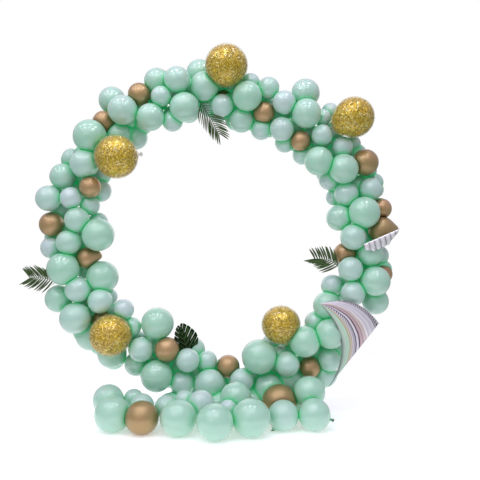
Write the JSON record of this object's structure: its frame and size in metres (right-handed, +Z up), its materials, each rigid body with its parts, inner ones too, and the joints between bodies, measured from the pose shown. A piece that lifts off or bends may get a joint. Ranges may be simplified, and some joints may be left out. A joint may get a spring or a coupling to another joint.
{
  "type": "balloon garland",
  "caption": "Ring-shaped garland of mint, gold and confetti latex balloons with leaves and foil trim, and a balloon tail on the floor.",
  "frame": {"origin": "centre of the flat patch where the topmost rear balloon meets the wall", "axes": "+Z up, +Y into the wall, +X to the right of a person facing the garland"},
  "size_m": [2.7522, 0.846, 2.6405],
  "materials": {
    "mint_latex": "satin, slightly translucent",
    "gold_latex": "metallic chrome-look latex",
    "clear_latex": "clear, glossy, with gold flakes inside",
    "leaf": "dark green artificial leaf",
    "marbled_foil": "glossy marbled foil",
    "silver_foil": "pleated silver-white foil"
  },
  "bodies": {
    "root": {"mint_cluster_01": "mint_latex", "mint_cluster_02": "mint_latex", "mint_cluster_03": "mint_latex", "mint_cluster_04": "mint_latex", "mint_cluster_05": "mint_latex", "mint_cluster_06": "mint_latex", "mint_cluster_07": "mint_latex", "mint_cluster_08": "mint_latex", "mint_cluster_09": "mint_latex", "mint_cluster_10": "mint_latex", "mint_cluster_11": "mint_latex", "mint_cluster_12": "mint_latex", "mint_cluster_13": "mint_latex", "mint_cluster_14": "mint_latex", "mint_cluster_15": "mint_latex", "mint_cluster_16": "mint_latex", "mint_cluster_17": "mint_latex", "mint_cluster_18": "mint_latex", "mint_cluster_19": "mint_latex", "mint_cluster_20": "mint_latex", "mint_cluster_21": "mint_latex", "mint_cluster_22": "mint_latex", "mint_cluster_23": "mint_latex", "mint_cluster_24": "mint_latex", "mint_cluster_25": "mint_latex", "mint_cluster_26": "mint_latex", "mint_cluster_27": "mint_latex", "mint_cluster_28": "mint_latex", "mint_cluster_29": "mint_latex", "mint_cluster_30": "mint_latex", "gold_balloon_01": "gold_latex", "gold_balloon_02": "gold_latex", "gold_balloon_03": "gold_latex", "gold_balloon_04": "gold_latex", "gold_balloon_05": "gold_latex", "gold_balloon_06": "gold_latex", "gold_balloon_07": "gold_latex", "gold_balloon_08": "gold_latex", "gold_balloon_09": "gold_latex", "gold_balloon_10": "gold_latex", "gold_balloon_11": "gold_latex", "gold_balloon_12": "gold_latex", "gold_balloon_13": "gold_latex", "gold_balloon_14": "gold_latex", "gold_balloon_15": "gold_latex", "gold_balloon_16": "gold_latex", "gold_balloon_17": "gold_latex", "gold_balloon_18": "gold_latex", "gold_balloon_19": "gold_latex", "confetti_balloon_top": "clear_latex", "confetti_balloon_right": "clear_latex", "confetti_balloon_lower_right": "clear_latex", "confetti_balloon_lower_left": "clear_latex", "confetti_balloon_left": "clear_latex", "palm_leaf_top": "leaf", "palm_leaf_right": "leaf", "palm_leaf_left": "leaf", "monstera_leaf": "leaf", "marbled_foil_balloon": "marbled_foil", "scalloped_foil_rim": "silver_foil"}
  },
  "joints": []
}
